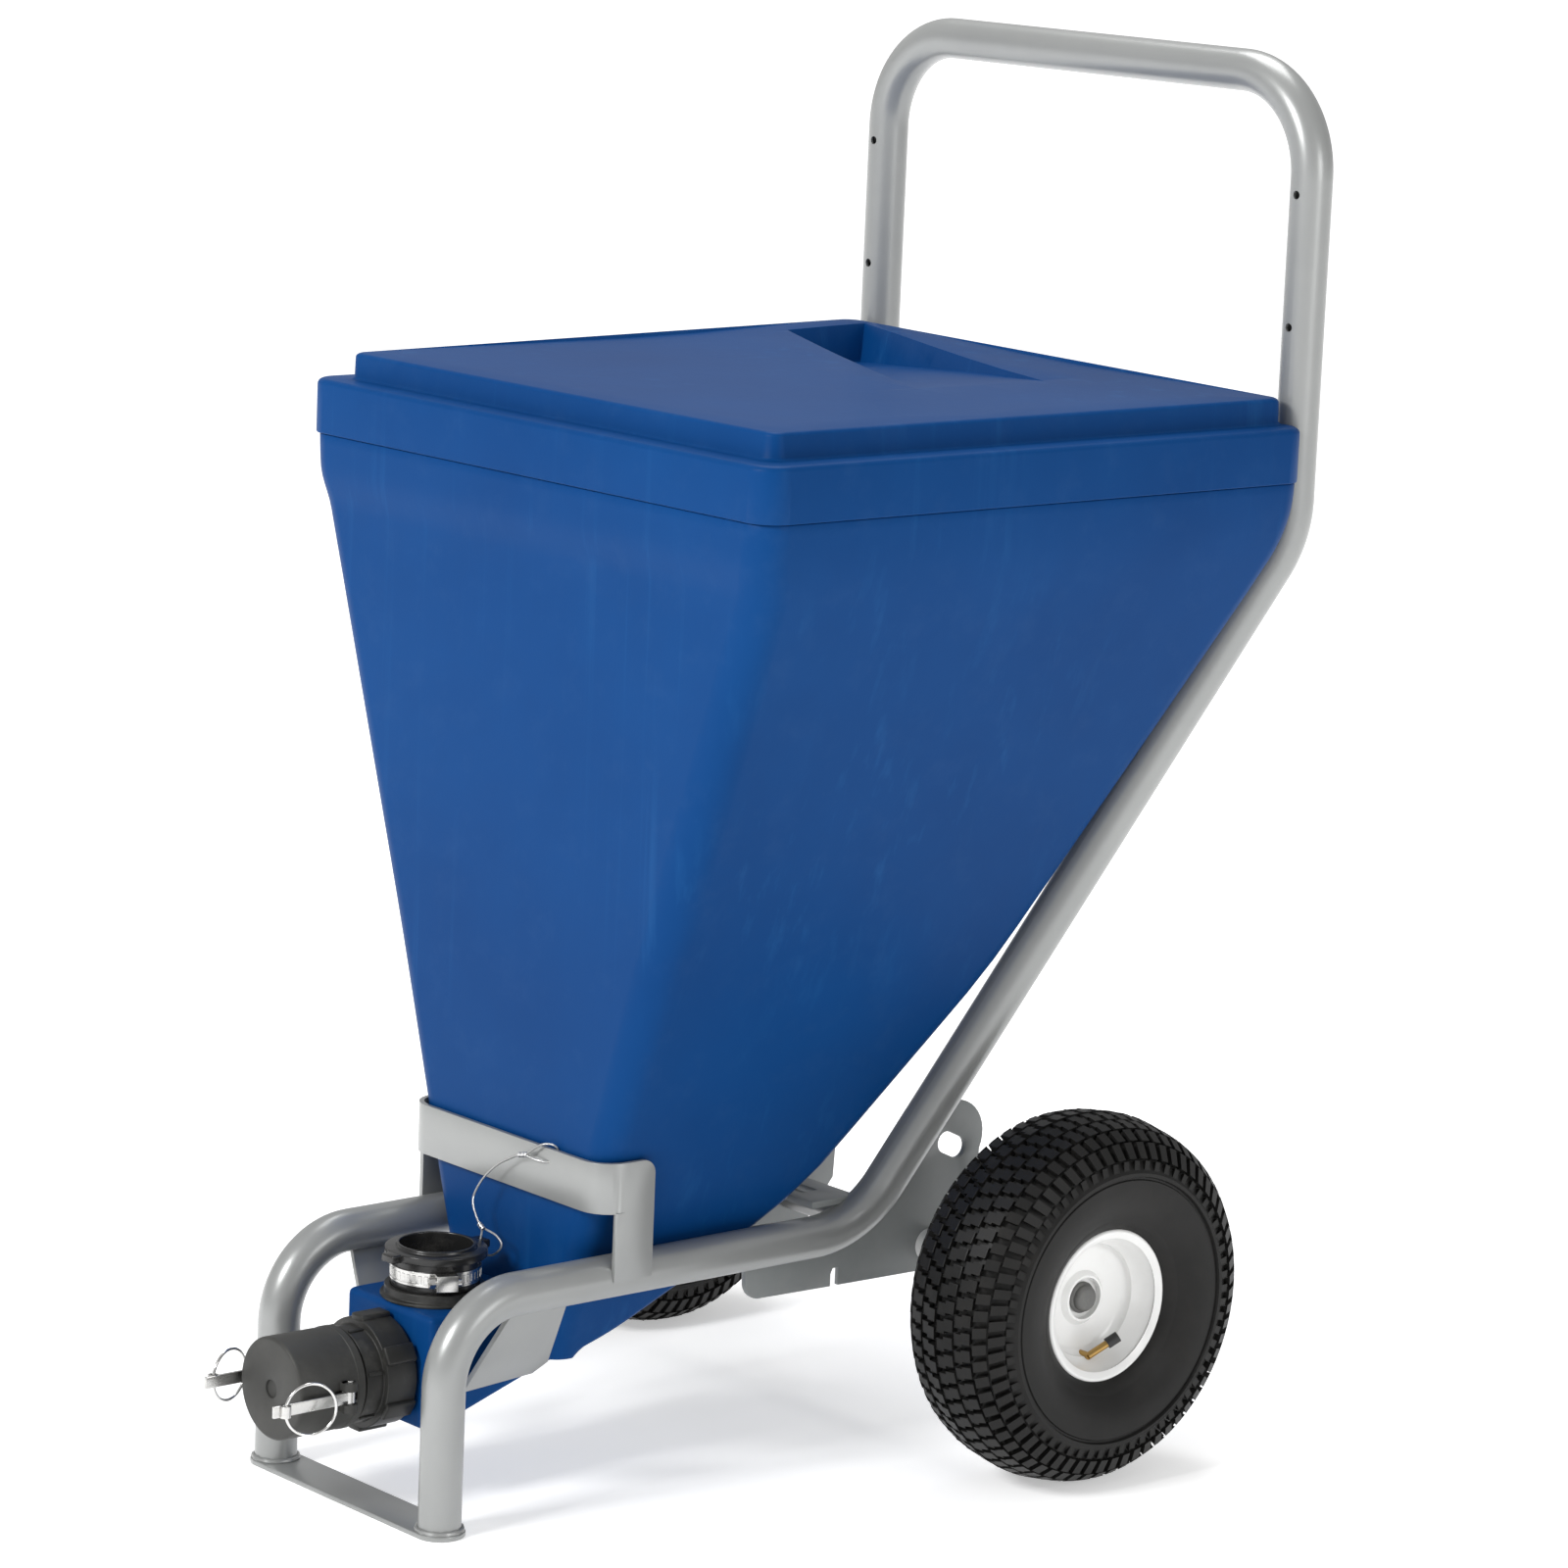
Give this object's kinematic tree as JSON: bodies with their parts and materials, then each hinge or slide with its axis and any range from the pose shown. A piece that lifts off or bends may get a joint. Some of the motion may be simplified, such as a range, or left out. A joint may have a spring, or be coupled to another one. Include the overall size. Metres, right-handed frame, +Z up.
{
  "type": "material hopper cart",
  "caption": "Two-wheeled push cart with a tapered plastic hopper, lift-off lid, bottom outlet box with capped hose port and open top port, and a bent tube frame.",
  "frame": {"origin": "centre of the bounding box at floor level", "axes": "+Z up; the outlet end faces -Y and the handle stands at +Y; X runs along the axle"},
  "size_m": [0.605, 0.7979, 1.0619],
  "materials": {
    "hopper_blue": "satin",
    "frame_paint": "satin",
    "gusset_paint": "satin",
    "axle_steel": "satin",
    "axle_cap_grey": "satin",
    "tyre_rubber": "matte",
    "tube_rubber": "matte",
    "rim_white": "gloss",
    "valve_brass": "satin",
    "valve_cap_black": "matte",
    "fitting_black": "satin",
    "cap_black": "matte",
    "seal_rubber": "matte",
    "lever_steel": "satin",
    "ring_steel": "gloss",
    "sleeve_rubber": "satin",
    "clamp_steel": "gloss",
    "wire_steel": "satin",
    "ferrule_metal": "satin"
  },
  "bodies": {
    "frame": {"hopper_tank": "hopper_blue", "outlet_box": "hopper_blue", "lower_tube_left": "frame_paint", "lower_tube_right": "frame_paint", "diagonal_tube_left": "frame_paint", "diagonal_tube_right": "frame_paint", "post_bend_left": "frame_paint", "post_bend_right": "frame_paint", "handle_tube": "frame_paint", "skid_plate": "frame_paint", "hopper_strap": "frame_paint", "cross_plate": "frame_paint", "cradle_plate_left": "frame_paint", "cradle_plate_right": "frame_paint", "rear_gusset_left": "gusset_paint", "rear_gusset_right": "gusset_paint", "axle": "axle_steel", "axle_spacers": "axle_steel", "axle_cap_left": "axle_cap_grey", "axle_cap_right": "axle_cap_grey", "outlet_adapter": "fitting_black", "port_nut": "fitting_black", "outlet_washer": "seal_rubber", "port_sleeve": "sleeve_rubber", "clamp_band": "clamp_steel", "clamp_housing": "clamp_steel", "clamp_screw": "clamp_steel", "lanyard_wire": "wire_steel", "lanyard_loops": "wire_steel", "lanyard_ferrules": "ferrule_metal"},
    "lid": {"lid": "hopper_blue"},
    "wheel_left": {"tyre_left": "tyre_rubber", "inner_tube_left": "tube_rubber", "rim_left": "rim_white", "hub_left": "axle_steel", "valve_stem_left": "valve_brass", "valve_cap_left": "valve_cap_black"},
    "wheel_right": {"tyre_right": "tyre_rubber", "inner_tube_right": "tube_rubber", "rim_right": "rim_white", "hub_right": "axle_steel", "valve_stem_right": "valve_brass", "valve_cap_right": "valve_cap_black"},
    "dust_cap": {"dust_cap": "cap_black", "cap_gasket": "seal_rubber", "lever_pins": "lever_steel"},
    "lever_left": {"cam_lever_left": "lever_steel"},
    "lever_right": {"cam_lever_right": "lever_steel"},
    "ring_left": {"pull_ring_left": "ring_steel"},
    "ring_right": {"pull_ring_right": "ring_steel"}
  },
  "joints": [
    {"name": "lid_lift", "type": "slide", "parent": "frame", "child": "lid", "axis": [0, 0, 1], "range_m": [0, 0.3]},
    {"name": "wheel_left_spin", "type": "hinge", "parent": "frame", "child": "wheel_left", "pos_m": [-0.25, 0.18605, 0.141], "axis": [1, 0, 0], "continuous": true},
    {"name": "wheel_right_spin", "type": "hinge", "parent": "frame", "child": "wheel_right", "pos_m": [0.25, 0.18605, 0.141], "axis": [1, 0, 0], "continuous": true},
    {"name": "cap_pull", "type": "slide", "parent": "frame", "child": "dust_cap", "axis": [0, -1, 0], "range_m": [0, 0.12]},
    {"name": "lever_left_swing", "type": "hinge", "parent": "dust_cap", "child": "lever_left", "pos_m": [-0.0415, -0.33095, 0.094], "axis": [0, 0, -1], "range_deg": [0, 95]},
    {"name": "lever_right_swing", "type": "hinge", "parent": "dust_cap", "child": "lever_right", "pos_m": [0.0415, -0.33095, 0.094], "axis": [0, 0, 1], "range_deg": [0, 95]},
    {"name": "ring_left_swing", "type": "hinge", "parent": "lever_left", "child": "ring_left", "pos_m": [-0.045, -0.38995, 0.094], "axis": [0, 0, 1], "range_deg": [0, 140]},
    {"name": "ring_right_swing", "type": "hinge", "parent": "lever_right", "child": "ring_right", "pos_m": [0.045, -0.38995, 0.094], "axis": [0, 0, -1], "range_deg": [0, 140]}
  ]
}
